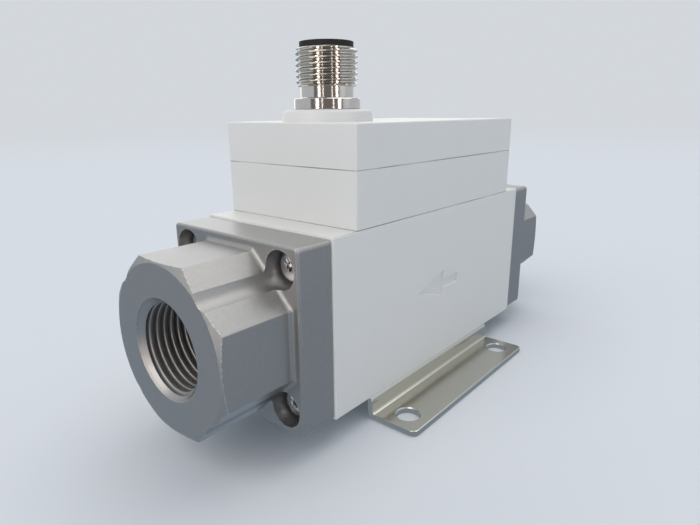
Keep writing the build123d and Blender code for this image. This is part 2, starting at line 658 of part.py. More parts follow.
def case_screws():
    screw = pan_screw(M25_R, CASE_SCREW_LENGTH, M25_HEAD_R, M25_HEAD_HEIGHT)
    return group([Pos(x, y, CASE_FLOOR_Z) * screw for x, y in four_places(CASE_SCREW_X, CASE_SCREW_Y)])


def sensor_holder():
    """Flanged plug with a seal groove, and a thin blade that hangs in the passage."""
    holder = cylinder(HOLDER_FLANGE_R, CASE_Z - HOLDER_FLANGE_HEIGHT, CASE_Z)
    holder += cylinder(HOLDER_R, HOLDER_END_Z, CASE_Z)
    blade = extrude(SlotOverall(BLADE_LENGTH, BLADE_THICKNESS), HOLDER_FLOOR_Z - BLADE_END_Z)
    holder += Pos(0, 0, BLADE_END_Z) * blade
    holder -= cylinder(HOLDER_BORE_R, HOLDER_FLOOR_Z, CASE_Z)
    holder -= block(ELEMENT_LENGTH, ELEMENT_THICKNESS, ELEMENT_END_Z, HOLDER_FLOOR_Z)
    low = SENSOR_SEAL_Z - SENSOR_SEAL_HEIGHT / 2
    high = SENSOR_SEAL_Z + SENSOR_SEAL_HEIGHT / 2
    groove = cylinder(HOLDER_R + FIT, low, high)
    groove -= cylinder(HOLDER_R - SENSOR_SEAL_DEPTH, low, high)
    return sensor_place() * (holder - groove)


def sensor_seal():
    low = SENSOR_SEAL_Z - SENSOR_SEAL_HEIGHT / 2
    high = SENSOR_SEAL_Z + SENSOR_SEAL_HEIGHT / 2
    return sensor_place() * ring_seal(HOLDER_R - SENSOR_SEAL_DEPTH, HOLDER_R + FIT, low, high)


def sensor_element():
    return block(ELEMENT_LENGTH, ELEMENT_THICKNESS, ELEMENT_END_Z, ELEMENT_TOP_Z, x=SENSOR_X)


def sensor_leads():
    return group([cylinder(LEAD_R, ELEMENT_TOP_Z, BOARD_TOP_Z + PIN_TAIL, x) for x in lead_places()])


def sensor_clamp():
    clamp = block(CLAMP_LENGTH, CLAMP_WIDTH, CASE_Z, CASE_Z + CLAMP_THICKNESS, CLAMP_CORNER, SENSOR_X)
    clamp -= cylinder(CLAMP_HOLE_R, CASE_Z, CASE_Z + CLAMP_THICKNESS, SENSOR_X)
    for side in (-1, 1):
        x = SENSOR_X + side * SENSOR_SCREW_X
        clamp -= cylinder(M25_R + PASS, CASE_Z, CASE_Z + CLAMP_THICKNESS, x)
    return clamp


def sensor_screws():
    screw = pan_screw(M25_R, SENSOR_SCREW_LENGTH, M25_HEAD_R, M25_HEAD_HEIGHT)
    seat = CASE_Z + CLAMP_THICKNESS
    return group([Pos(SENSOR_X + side * SENSOR_SCREW_X, 0, seat) * screw for side in (-1, 1)])


NODES = {
    "flow_body": flow_body(),
    "outlet_port": at_end(-1) * port(),
    "inlet_port": at_end(1) * port(STRAIGHTENER_R + SLIDE, STRAIGHTENER_THICKNESS),
    "outlet_port_seal": port_seal(-1),
    "inlet_port_seal": port_seal(1),
    "outlet_port_screws": port_screws(-1),
    "inlet_port_screws": port_screws(1),
    "flow_straightener": flow_straightener(),
    "mounting_bracket": mounting_bracket(),
    "bracket_screws": bracket_screws(),
    "case_gasket": gasket(CASE_Z),
    "electronics_case": electronics_case(),
    "case_screws": case_screws(),
    "cover_gasket": gasket(COVER_Z - GASKET_HEIGHT),
    "top_cover": top_cover(),
    "connector_shell": connector_shell(),
    "connector_nut": connector_nut(),
    "connector_seal": connector_seal(),
    "connector_insert": connector_insert(),
    "connector_pins": connector_pins(),
    "connector_board": connector_board(),
    "link_header": link_header(),
    "link_pins": link_pins(),
    "main_board": main_board(),
    "board_chips": board_chips(),
    "board_screws": board_screws(),
    "sensor_holder": sensor_holder(),
    "sensor_seal": sensor_seal(),
    "sensor_element": sensor_element(),
    "sensor_leads": sensor_leads(),
    "sensor_clamp": sensor_clamp(),
    "sensor_screws": sensor_screws(),
}

os.makedirs("parts", exist_ok=True)
for name, shape in NODES.items():
    export_step(shape, f"parts/{name}.step")
    print(name, len(shape.solids()), round(sum(solid.volume for solid in shape.solids())))
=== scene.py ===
# %% [markdown]
# # A vortex flow switch
#
# The object is a water flow switch. A white moulded body carries a grey die-cast pipe port at each
# end, an electronics housing with a round plug connector stands on top, and a folded bracket holds
# it to a panel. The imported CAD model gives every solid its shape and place. This lesson adds what a
# solid modeller leaves plain: cut threads, cross recesses in the screw heads, and finishes.
#
# The CAD model is loaded first, because every later size and place is read from it.

# %% Load the frame
import json
from math import cos, pi, radians, sin, sqrt

import bpy
from mathutils import Matrix, Vector


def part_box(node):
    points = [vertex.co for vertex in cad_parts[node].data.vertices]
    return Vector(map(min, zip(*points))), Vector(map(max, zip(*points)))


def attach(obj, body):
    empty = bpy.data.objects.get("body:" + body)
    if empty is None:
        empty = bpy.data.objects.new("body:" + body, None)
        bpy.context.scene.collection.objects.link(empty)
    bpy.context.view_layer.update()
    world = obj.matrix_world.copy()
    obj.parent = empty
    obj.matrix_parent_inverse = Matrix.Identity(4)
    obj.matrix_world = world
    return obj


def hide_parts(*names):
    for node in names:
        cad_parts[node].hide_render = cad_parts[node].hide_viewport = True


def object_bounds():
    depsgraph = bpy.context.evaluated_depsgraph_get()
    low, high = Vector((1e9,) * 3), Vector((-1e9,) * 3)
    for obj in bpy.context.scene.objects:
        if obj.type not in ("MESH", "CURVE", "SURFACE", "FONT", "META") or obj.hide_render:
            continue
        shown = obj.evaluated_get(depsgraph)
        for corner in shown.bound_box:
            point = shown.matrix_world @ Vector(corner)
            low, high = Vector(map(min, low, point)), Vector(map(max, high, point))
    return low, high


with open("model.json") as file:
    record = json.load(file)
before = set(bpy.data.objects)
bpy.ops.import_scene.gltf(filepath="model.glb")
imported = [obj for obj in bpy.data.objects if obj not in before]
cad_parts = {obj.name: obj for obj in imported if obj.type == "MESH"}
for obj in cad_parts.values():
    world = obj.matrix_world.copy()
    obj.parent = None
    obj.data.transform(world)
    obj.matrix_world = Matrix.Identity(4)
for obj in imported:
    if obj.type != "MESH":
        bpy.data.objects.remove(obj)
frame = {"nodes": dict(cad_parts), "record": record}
nodes = frame["nodes"]
cad_low, cad_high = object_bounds()
MM = 0.001
print("nodes:", len(nodes), "size in mm:", [round(side / MM, 2) for side in cad_high - cad_low])

# %% [markdown]
# ## Tools for modelling
#
# Blender's operators act on whatever is selected, and the loader leaves all the CAD nodes selected.
# So each piece starts with nothing selected. A turned piece is a line spun round an axis, and a line
# is drawn by merging a plane to one point and extruding that point along the outline.


# %% Draw a line, point by point
def deselect():
    if bpy.context.object and bpy.context.object.mode == "EDIT":
        bpy.ops.object.mode_set(mode="OBJECT")
    bpy.ops.object.select_all(action="DESELECT")


def select_only(*pieces):
    deselect()
    for piece in pieces:
        piece.select_set(True)
    bpy.context.view_layer.objects.active = pieces[0]


def draw_line(name, points):
    """New object with one line through the points, left in edit mode."""
    deselect()
    bpy.ops.mesh.primitive_plane_add(size=MM, location=(0, 0, 0))
    bpy.context.object.name = name
    bpy.ops.object.mode_set(mode="EDIT")
    bpy.ops.mesh.merge(type="CENTER")
    bpy.ops.transform.translate(value=points[0])
    for before, after in zip(points, points[1:]):
        step = Vector(after) - Vector(before)
        bpy.ops.mesh.extrude_region_move(TRANSFORM_OT_translate={"value": step})
    return bpy.context.object


# %% Close up a mesh
WELD = 0.5e-6


def close_mesh():
    """Merges doubles and turns all faces outwards, in edit mode."""
    bpy.ops.mesh.select_all(action="SELECT")
    bpy.ops.mesh.remove_doubles(threshold=WELD)
    bpy.ops.mesh.normals_make_consistent(inside=False)
    bpy.ops.object.mode_set(mode="OBJECT")


# %% [markdown]
# A lathe makes most of the metal parts here. Spin does the same: it sweeps a profile, drawn as
# radius and height, once round the Z axis. A profile that starts and ends on the axis closes itself,
# and one that goes back to its first point gives a ring.


# %% Turn a profile on the lathe
def turned(name, profile, steps):
    """Solid of revolution about Z from (radius, height) points."""
    piece = draw_line(name, [(radius, 0, height) for radius, height in profile])
    bpy.ops.mesh.select_all(action="SELECT")
    bpy.ops.mesh.spin(steps=steps, angle=2 * pi, center=(0, 0, 0), axis=(0, 0, 1))
    close_mesh()
    return piece


# %% Use a modifier for good
def apply_modifier(piece, kind, **settings):
    select_only(piece)
    modifier = piece.modifiers.new(kind.title(), kind)
    for name, value in settings.items():
        setattr(modifier, name, value)
    bpy.ops.object.modifier_apply(modifier=modifier.name)


def cut(piece, cutter):
    """Takes the cutter's volume out of the piece, and removes the cutter."""
    apply_modifier(piece, "BOOLEAN", object=cutter, operation="DIFFERENCE", solver="EXACT")
    bpy.data.objects.remove(cutter)


def smooth_by_angle(piece, degrees):
    select_only(piece)
    bpy.ops.object.shade_smooth_by_angle(angle=radians(degrees))


# %% [markdown]
# A thread could be a picture of rings, but a real one is a single groove that climbs. Here it is cut
# as a die or a tap cuts it: the section of the groove goes round and up as a Screw modifier, and
# that long coil is then taken out of the turned blank. The coil starts and ends in the air, beyond
# the blank's ends, so the groove runs out by itself at the chamfers.


# %% Cut a thread
def groove_coil(name, section, pitch, start, turns, steps):
    """Right-handed coil whose section is (radius, height) points, from height start upwards."""
    points = [(radius, 0, start + height) for radius, height in section]
    coil = draw_line(name, points + points[:1])
    bpy.ops.object.mode_set(mode="OBJECT")
    apply_modifier(
        coil, "SCREW", angle=2 * pi, screw_offset=pitch, iterations=turns,
        steps=steps, render_steps=steps, axis="Z",
    )
    bpy.ops.object.mode_set(mode="EDIT")
    bpy.ops.mesh.select_all(action="SELECT")
    bpy.ops.mesh.remove_doubles(threshold=WELD)
    bpy.ops.mesh.select_all(action="SELECT")
    bpy.ops.mesh.fill_holes(sides=0)
    close_mesh()
    return coil


# %% Place a piece
def settle(piece, place, side=None, turn=0):
    """Moves a piece made about Z to its place; side -1 or 1 points it along the flow axis."""
    tilt = Matrix.Rotation(side * pi / 2, 4, "Y") if side else Matrix.Identity(4)
    piece.matrix_world = Matrix.Translation(place) @ tilt @ Matrix.Rotation(turn, 4, "Z")
    select_only(piece)
    bpy.ops.object.transform_apply(location=True, rotation=True, scale=True)


def report(piece):
    piece.data.calc_loop_triangles()
    print(piece.name, "triangles:", len(piece.data.loop_triangles))


# %% [markdown]
# ## The plug connector's shell
#
# The shell is one turned and nickel-plated brass piece: a stem down through the cover, a flange, a
# plain neck and the M12 thread that a sensor lead's nut screws on. The solid ends at the thread's
# crests, so the shell is turned again here with the same outline and its thread is then cut. Its
# levels and its flange come from the CAD node, and the rest are the drawing's sizes.

# %% Sizes of the shell
shell_low, shell_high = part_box("connector_shell")
connector_x = (shell_low.x + shell_high.x) / 2
flange_r = (shell_high.x - shell_low.x) / 2
flange_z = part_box("top_cover")[1].z
bore_r = 4.4 * MM
stem_r = 4.95 * MM
neck_r = 5.07 * MM
neck_z = flange_z + 2.05 * MM
thread_z = neck_z + 2.1 * MM
plug_pitch = 1.0 * MM
plug_crest_r = 5.95 * MM
plug_root_r = 5.32 * MM
plug_turns = 9
print("connector at x =", round(connector_x / MM, 2), "mm")

# %% Turn the shell and cut its thread
LATHE_STEPS = 120
lead_in = 0.45 * MM
flange_edge = 0.15 * MM
shell = turned("plug_shell", [
    (bore_r, shell_low.z),
    (stem_r, shell_low.z),
    (stem_r, flange_z),
    (flange_r - flange_edge, flange_z),
    (flange_r, flange_z + flange_edge),
    (flange_r, neck_z - flange_edge),
    (flange_r - flange_edge, neck_z),
    (neck_r + flange_edge, neck_z),
    (neck_r, neck_z + flange_edge),
    (neck_r, thread_z),
    (plug_root_r, thread_z),
    (plug_crest_r, thread_z + lead_in),
    (plug_crest_r, shell_high.z - lead_in),
    (plug_root_r + flange_edge, shell_high.z),
    (bore_r, shell_high.z),
    (bore_r, shell_low.z),
], LATHE_STEPS)
flank = sqrt(3) / 3
root_flat = 0.08 * MM
beyond = 0.04 * MM
wide = root_flat + (plug_crest_r + beyond - plug_root_r) * flank
plug_groove = groove_coil(
    "plug_groove",
    [
        (plug_root_r, -root_flat), (plug_crest_r + beyond, -wide),
        (plug_crest_r + beyond, wide), (plug_root_r, root_flat),
    ],
    plug_pitch, thread_z - plug_pitch, plug_turns, LATHE_STEPS,
)
cut(shell, plug_groove)
smooth_by_angle(shell, 25)
settle(shell, (connector_x, 0, 0))
report(shell)

# %% [markdown]
# ## The pipe threads
#
# Each port has a 3/8 inch pipe thread: 19 turns to the inch, with rounded roots. The solid's wall is
# at the thread's outer radius, so the ridges are a thin sleeve that lies against that wall. Its
# section is a rounded groove, cut by a coil as a tap cuts it. The groove takes up most of the
# pitch, and the rest stays as the flat on each crest.

# %% Sizes of the pipe thread
INCH = 25.4 * MM
pipe_pitch = INCH / 19
pipe_major_r = 8.33 * MM
pipe_depth = 0.64 * pipe_pitch
wall_gap = 0.01 * MM
sleeve_r = pipe_major_r - wall_gap
pipe_minor_r = pipe_major_r - pipe_depth
mouth_taper = 0.9 * MM
mouth_depth = 0.3 * MM
thread_length = 12.4 * MM
pipe_turns = 13
groove_share = 0.72
groove_points = 10
axis_z = (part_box("outlet_port")[0].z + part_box("outlet_port")[1].z) / 2
print("pipe thread pitch:", round(pipe_pitch / MM, 3), "mm, axis at z =", round(axis_z / MM, 2))


# %% Cut one threaded sleeve
def rounded_groove(crest_r, root_r, width, points):
    """Groove section that swings between two radii as a cosine, over the given width."""
    height, middle = (root_r - crest_r) / 2, (root_r + crest_r) / 2
    steps = [n / points - 0.5 for n in range(points + 1)]
    return [(middle + height * cos(2 * pi * step), step * width) for step in steps]


sleeve = turned("outlet_thread_sleeve", [
    (pipe_minor_r, -thread_length), (sleeve_r, -thread_length), (sleeve_r, -mouth_depth),
    (pipe_minor_r, -mouth_depth - mouth_taper), (pipe_minor_r, -thread_length),
], LATHE_STEPS)
groove = rounded_groove(
    pipe_minor_r - beyond, sleeve_r - beyond, pipe_pitch * groove_share, groove_points,
)
tap = groove_coil(
    "tap", groove, pipe_pitch, -thread_length - 2 * pipe_pitch, pipe_turns, LATHE_STEPS,
)
cut(sleeve, tap)
smooth_by_angle(sleeve, 40)
report(sleeve)

# %% Put a sleeve in each port
sleeves = [sleeve, sleeve.copy()]
sleeves[1].data = sleeve.data.copy()
sleeves[1].name = "inlet_thread_sleeve"
bpy.context.scene.collection.objects.link(sleeves[1])
settle(sleeves[0], (cad_low.x, 0, axis_z), side=-1)
settle(sleeves[1], (cad_high.x, 0, axis_z), side=1)
print("sleeves:", [piece.name for piece in sleeves])

# %% [markdown]
# ## Screws
#
# The ports and the bracket are held by pan-head screws with a cross recess. All have the same head.
# For each set one screw is turned, its recess is sunk with a tapered cross, and copies are put where
# the CAD node has its screws. Real screws stop at any angle, so each copy is turned differently.

# %% Turn one screw
head_r = 2.8 * MM
head_height = 2.0 * MM
shank_r = 1.5 * MM
head_round = 0.9 * MM
tip = 0.4 * MM
SCREW_STEPS = 48
arc = [radians(angle) for angle in range(0, 91, 15)]


def pan_screw(name, length):
    """Pan-head screw with its seat at height 0 and its head above."""
    round_r, round_z = head_r - head_round, head_height - head_round
    shoulder = [
        (round_r + head_round * cos(angle), round_z + head_round * sin(angle)) for angle in arc
    ]
    profile = [(0, -length), (shank_r - tip, -length), (shank_r, tip - length), (shank_r, 0)]
    profile += [(head_r, 0), *shoulder, (0, head_height)]
    return turned(name, profile, SCREW_STEPS)


# %% The cross recess
recess_reach = 2.15 * MM
recess_width = 0.92 * MM
recess_depth = 1.25 * MM
recess_taper = (0.35, 0.75, 1)
recess_bevel = 0.11 * MM


def recess_wing(turn):
    """One tapered bar of the cross, from above the head down into it."""
    deselect()
    bpy.ops.mesh.primitive_cube_add(size=2, location=(0, 0, 0))
    wing = bpy.context.object
    bpy.ops.object.mode_set(mode="EDIT")
    bpy.ops.transform.resize(value=(recess_reach, recess_width / 2, recess_depth))
    bpy.ops.transform.translate(value=(0, 0, head_height))
    bpy.ops.object.mode_set(mode="OBJECT")
    for corner in wing.data.vertices:
        corner.select = corner.co.z < head_height
    bpy.ops.object.mode_set(mode="EDIT")
    bpy.ops.transform.resize(value=recess_taper)
    bpy.ops.object.mode_set(mode="OBJECT")
    settle(wing, (0, 0, 0), turn=turn)
    return wing


def crossed_screw(name, length):
    """Pan-head screw with its cross recess, whose edges are slightly rounded."""
    screw = pan_screw(name, length)
    for turn in (0, pi / 2):
        cut(screw, recess_wing(turn))
    apply_modifier(
        screw, "BEVEL", width=recess_bevel, segments=3, limit_method="ANGLE", angle_limit=radians(50),
    )
    smooth_by_angle(screw, 35)
    return screw


# %% Copy the screws to their places
def stop_angle(number):
    """Where a screw happens to stop turning."""
    return radians(17 + 71 * number)


def screw_set(name, node, length, side=None):
    """Four screws as one piece, where the CAD node has its four."""
    low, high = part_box(node)
    model = crossed_screw(name, length)
    copies = []
    for number, (sx, sy) in enumerate([(-1, -1), (-1, 1), (1, -1), (1, 1)]):
        copy = model.copy()
        copy.data = model.data.copy()
        bpy.context.scene.collection.objects.link(copy)
        middle = (low + high) / 2
        if side:
            seat = high.x - head_height if side > 0 else low.x + head_height
            half_y, half_z = (high.y - low.y) / 2 - head_r, (high.z - low.z) / 2 - head_r
            place = (seat, sx * half_y, middle.z + sy * half_z)
            settle(copy, place, side=side, turn=stop_angle(number))
        else:
            half_x, half_y = (high.x - low.x) / 2 - head_r, (high.y - low.y) / 2 - head_r
            place = (middle.x + sx * half_x, sy * half_y, low.z + head_height)
            copy.data.transform(Matrix.Rotation(pi, 4, "X"))
            settle(copy, place, turn=stop_angle(number))
        copies.append(copy)
    bpy.data.objects.remove(model)
    select_only(*copies)
    bpy.ops.object.join()
    joined = bpy.context.object
    joined.name = name
    report(joined)
    return joined


outlet_screws = screw_set("outlet_cross_screws", "outlet_port_screws", 12 * MM, side=-1)
inlet_screws = screw_set("inlet_cross_screws", "inlet_port_screws", 12 * MM, side=1)
bracket_screws = screw_set("bracket_cross_screws", "bracket_screws", 8 * MM)

# %% [markdown]
# ## Which piece stands for which solid
#
# Every new piece rides on the part's one body. The shell and the screws stand for CAD nodes, which
# are then hidden, and the thread sleeves are added to ports that stay.

# %% Tie the pieces to the frame
for piece, node, slot in (
    (shell, "connector_shell", "connector_metal"),
    (outlet_screws, "outlet_port_screws", "screw_steel"),
    (inlet_screws, "inlet_port_screws", "screw_steel"),
    (bracket_screws, "bracket_screws", "screw_steel"),
    (sleeves[0], None, "port_metal"),
    (sleeves[1], None, "port_metal"),
):
    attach(piece, "root")
    if node:
        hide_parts(node)

# %% [markdown]
# ## Tools for finishes
#
# A finish is a tree of shader nodes. These helpers add a node, set its settings, and feed each
# input either from another node or with a plain value, so that a tree reads like a recipe.


# %% Add and feed nodes
def feed(tree, socket, value):
    if isinstance(value, bpy.types.NodeSocket):
        tree.links.new(value, socket)
    else:
        socket.default_value = value


def add(tree, kind, feeds=None, **settings):
    node = tree.nodes.new(kind)
    for name, value in settings.items():
        setattr(node, name, value)
    for name, value in (feeds or {}).items():
        feed(tree, node.inputs[name], value)
    return node


def calc(tree, operation, *values, clamp=False):
    feeds = dict(enumerate(values))
    return add(tree, "ShaderNodeMath", feeds, operation=operation, use_clamp=clamp).outputs[0]


def remap(tree, value, low, high, start=0.0, end=1.0):
    """Stretches values between low and high over the range from start to end."""
    return add(tree, "ShaderNodeMapRange", {
        "Value": value, "From Min": low, "From Max": high, "To Min": start, "To Max": end,
    }).outputs[0]


def new_group(name, inputs, outputs):
    """Empty shader node group with named sockets, and its input and output nodes."""
    tree = bpy.data.node_groups.new(name, "ShaderNodeTree")
    for label, kind, start in inputs:
        tree.interface.new_socket(label, in_out="INPUT", socket_type=kind).default_value = start
    for label, kind in outputs:
        tree.interface.new_socket(label, in_out="OUTPUT", socket_type=kind)
    return tree, add(tree, "NodeGroupInput").outputs, add(tree, "NodeGroupOutput").inputs


NUMBER, COLOR, VECTOR = "NodeSocketFloat", "NodeSocketColor", "NodeSocketVector"

# %% [markdown]
# Four effects are shared by the finishes. Grain is the fine texture that a mould or blasting leaves.
# Mottle lets a colour drift slightly over some millimetres, as no real surface is one flat colour.
# Handling is the faint smudging that changes how sharp a gloss is. Lines are the parallel marks of
# rolling or turning. Each is a group, so one recipe serves every material with its own sizes.

# %% Grain group
grain_group, given, result = new_group(
    "Grain", [("Vector", VECTOR, (0, 0, 0)), ("Size", NUMBER, 0.0004), ("Crispness", NUMBER, 0.5)],
    [("Height", NUMBER)],
)
scale = calc(grain_group, "DIVIDE", 1.0, given["Size"])
fine = add(grain_group, "ShaderNodeTexNoise",
           {"Vector": given["Vector"], "Scale": scale, "Detail": 3.0, "Roughness": given["Crispness"]})
feed(grain_group, result["Height"], fine.outputs[0])
print("group:", grain_group.name)

# %% Mottle group
mottle_group, given, result = new_group(
    "Mottle",
    [("Vector", VECTOR, (0, 0, 0)), ("Color", COLOR, (0.5, 0.5, 0.5, 1)), ("Size", NUMBER, 0.006),
     ("Amount", NUMBER, 0.05)],
    [("Color", COLOR)],
)
scale = calc(mottle_group, "DIVIDE", 1.0, given["Size"])
cloud = add(mottle_group, "ShaderNodeTexNoise", {"Vector": given["Vector"], "Scale": scale, "Detail": 2.0})
swing = calc(mottle_group, "SUBTRACT", cloud.outputs[0], 0.5)
gain = calc(mottle_group, "MULTIPLY_ADD", swing, given["Amount"], 1.0)
tinted = add(mottle_group, "ShaderNodeVectorMath", {0: given["Color"], 3: gain}, operation="SCALE")
feed(mottle_group, result["Color"], tinted.outputs[0])
print("group:", mottle_group.name)

# %% Handling group
handling_group, given, result = new_group(
    "Handling",
    [("Vector", VECTOR, (0, 0, 0)), ("Roughness", NUMBER, 0.4), ("Size", NUMBER, 0.008),
     ("Amount", NUMBER, 0.1)],
    [("Roughness", NUMBER)],
)
scale = calc(handling_group, "DIVIDE", 1.0, given["Size"])
smudge = add(handling_group, "ShaderNodeTexNoise",
             {"Vector": given["Vector"], "Scale": scale, "Detail": 4.0, "Distortion": 0.6})
swing = calc(handling_group, "SUBTRACT", smudge.outputs[0], 0.5)
rough = calc(handling_group, "MULTIPLY_ADD", swing, given["Amount"], given["Roughness"], clamp=True)
feed(handling_group, result["Roughness"], rough)
print("group:", handling_group.name)

# %% Lines group
lines_group, given, result = new_group(
    "Lines", [("Vector", VECTOR, (0, 0, 0)), ("Stretch", VECTOR, (1, 1, 1)), ("Size", NUMBER, 0.0002)],
    [("Height", NUMBER)],
)
scale = calc(lines_group, "DIVIDE", 1.0, given["Size"])
drawn = add(lines_group, "ShaderNodeVectorMath", {0: given["Vector"], 1: given["Stretch"]},
            operation="MULTIPLY")
strand = add(lines_group, "ShaderNodeTexNoise", {"Vector": drawn.outputs[0], "Scale": scale, "Detail": 2.0})
feed(lines_group, result["Height"], strand.outputs[0])
print("group:", lines_group.name)

# %% [markdown]
# Blasted castings rub bright along their edges, and the edges also catch the light as thin highlights.
# This group paints both into the colour as one lighter band: part wear, part painted highlight. The
# Bevel node gives the normal that a rounded edge would have, so where it turns away from the true
# normal there is an edge. Noise breaks the band up into specks, as rubbing touches only the high grains.

# %% Edge wear and painted highlight group
WEAR_AND_HIGHLIGHT_RADIUS = 0.35 * MM
wear_and_highlight_group, given, result = new_group(
    "Edge Wear And Highlight", [("Vector", VECTOR, (0, 0, 0)), ("Size", NUMBER, 0.0003), ("Amount", NUMBER, 1.0)],
    [("Mask", NUMBER)],
)
rounded = add(wear_and_highlight_group, "ShaderNodeBevel", {"Radius": WEAR_AND_HIGHLIGHT_RADIUS}, samples=6).outputs[0]
flat = add(wear_and_highlight_group, "ShaderNodeNewGeometry").outputs["Normal"]
agree = add(wear_and_highlight_group, "ShaderNodeVectorMath", {0: rounded, 1: flat}, operation="DOT_PRODUCT")
edge = remap(wear_and_highlight_group, agree.outputs["Value"], 0.995, 0.9)
scale = calc(wear_and_highlight_group, "DIVIDE", 1.0, given["Size"])
grains = add(wear_and_highlight_group, "ShaderNodeTexNoise", {"Vector": given["Vector"], "Scale": scale, "Detail": 2.0})
specks = remap(wear_and_highlight_group, grains.outputs[0], 0.5, 0.62)
worn_and_highlit = calc(wear_and_highlight_group, "MULTIPLY", edge, specks)
feed(wear_and_highlight_group, result["Mask"], calc(wear_and_highlight_group, "MULTIPLY", worn_and_highlit, given["Amount"], clamp=True))
print("group:", wear_and_highlight_group.name)

# %% [markdown]
# Where two mouldings meet there is a hairline gap, and no light gets out of it. It is far too thin to
# model, so a mask marks a band round a level along one axis, and that shade is painted into the colour
# there. Only walls that run along that axis are marked, not the faces that lie in the seam's own
# plane. Slow noise opens and closes the gap, as two real mouldings never meet quite evenly.

# %% Seam shade group
seam_shade_group, given, result = new_group(
    "Seam",
    [("Vector", VECTOR, (0, 0, 0)), ("Axis", VECTOR, (0, 0, 1)), ("Level", NUMBER, 0.0),
     ("Width", NUMBER, 0.0002)],
    [("Mask", NUMBER)],
)
along = add(seam_shade_group, "ShaderNodeVectorMath", {0: given["Vector"], 1: given["Axis"]},
            operation="DOT_PRODUCT")
offset = calc(seam_shade_group, "SUBTRACT", along.outputs["Value"], given["Level"])
widths = calc(seam_shade_group, "DIVIDE", calc(seam_shade_group, "ABSOLUTE", offset), given["Width"])
band = remap(seam_shade_group, widths, 0.35, 0.6, start=1.0, end=0.0)
flat = add(seam_shade_group, "ShaderNodeNewGeometry").outputs["Normal"]
facing = add(seam_shade_group, "ShaderNodeVectorMath", {0: flat, 1: given["Axis"]}, operation="DOT_PRODUCT")
facing = calc(seam_shade_group, "ABSOLUTE", facing.outputs["Value"])
wall = calc(seam_shade_group, "LESS_THAN", facing, 0.9)
drift = add(seam_shade_group, "ShaderNodeTexNoise", {"Vector": given["Vector"], "Scale": 70.0, "Detail": 1.0})
fit = remap(seam_shade_group, drift.outputs[0], 0.35, 0.6, start=0.25)
mask = calc(seam_shade_group, "MULTIPLY", calc(seam_shade_group, "MULTIPLY", band, wall), fit)
feed(seam_shade_group, result["Mask"], mask)
print("group:", seam_shade_group.name)

# %% [markdown]
# A material starts from a Principled shader that reads its pattern from Object coordinates. The CAD
# nodes and the new pieces all have their object at the origin, so those coordinates are the real
# place on the part in metres, and a pattern runs on from one piece to the next at one scale.


# %% Start a material
def group_node(tree, group, values):
    """A group placed in a material, with its own values."""
    node = add(tree, "ShaderNodeGroup", node_tree=group)
    for name, value in values.items():
        feed(tree, node.inputs[name], value)
    return node


def new_material(name, color, roughness, metallic=0.0, mottle=(0.006, 0.04), handling=(0.008, 0.08)):
    """Material with mottled colour and handled roughness; returns it with its tree, shader and place."""
    material = bpy.data.materials.new(name)
    material.use_nodes = True
    tree = material.node_tree
    shader = tree.nodes["Principled BSDF"]
    place = add(tree, "ShaderNodeTexCoord").outputs["Object"]
    shade = group_node(tree, mottle_group, {
        "Vector": place, "Color": (*color, 1), "Size": mottle[0], "Amount": mottle[1]})
    touch = group_node(tree, handling_group, {
        "Vector": place, "Roughness": roughness, "Size": handling[0], "Amount": handling[1]})
    feed(tree, shader.inputs["Base Color"], shade.outputs[0])
    feed(tree, shader.inputs["Roughness"], touch.outputs[0])
    feed(tree, shader.inputs["Metallic"], metallic)
    return material, tree, shader, place


def bump(tree, shader, height, depth):
    """Raises the surface by a height map, with its full range as deep as depth."""
    raised = add(tree, "ShaderNodeBump", {"Height": height, "Distance": depth, "Strength": 1.0})
    feed(tree, shader.inputs["Normal"], raised.outputs[0])


# %% Paint shade along a material's seams
def shade_seams(tree, shader, place, lines, depth):
    """Paints shade into the colour by depth along hairline gaps, given as (axis, level, width)."""
    colour = shader.inputs["Base Color"].links[0].from_socket
    mask = 0.0
    for axis, level, width in lines:
        gap = group_node(tree, seam_shade_group, {"Vector": place, "Axis": axis, "Level": level, "Width": width})
        mask = calc(tree, "MAXIMUM", mask, gap.outputs[0])
    light = calc(tree, "MULTIPLY_ADD", mask, -depth, 1.0)
    darkened = add(tree, "ShaderNodeVectorMath", {0: colour, 3: light}, operation="SCALE")
    feed(tree, shader.inputs["Base Color"], darkened.outputs[0])


# %% Where the seams are
HAIRLINE = 0.2 * MM
case_box, body_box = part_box("electronics_case"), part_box("flow_body")
case_seam_shade = [((0, 0, 1), corner.z, HAIRLINE) for corner in reversed(case_box)]
end_seam_shade = [((1, 0, 0), corner.x, 2 * HAIRLINE) for corner in body_box]
print("seams at heights", [round(level / MM, 2) for _, level, _ in case_seam_shade], "mm")

# %% [markdown]
# ## The finishes
#
# Each finish starts from a colour, a roughness and how metallic it is. The mouldings carry a fine
# grain, the castings a coarse one with a thin sheen over it, and rolled or turned metal has lines
# that are stretched along the way it was worked.

# %% White moulded resin
WHITE = (0.78, 0.775, 0.75)
white_resin, tree, shader, place = new_material("body_resin", WHITE, 0.45, mottle=(0.009, 0.03))
# Painted shade in the hairline gaps at the case's top and bottom edges.
shade_seams(tree, shader, place, case_seam_shade, 0.55)
grain = group_node(tree, grain_group, {"Vector": place, "Size": 0.3 * MM, "Crispness": 0.6})
bump(tree, shader, grain.outputs[0], 0.004 * MM)
print("material:", white_resin.name)

# %% Cast and blasted grey metal
GREY = (0.345, 0.34, 0.33)
RUBBED_AND_HIGHLIT = (0.85, 0.84, 0.80, 1)
cast_metal, tree, shader, place = new_material(
    "port_metal", GREY, 0.40, metallic=0.75, mottle=(0.6 * MM, 0.14))
shader.inputs["Coat Weight"].default_value = 0.4
shader.inputs["Coat Roughness"].default_value = 0.32
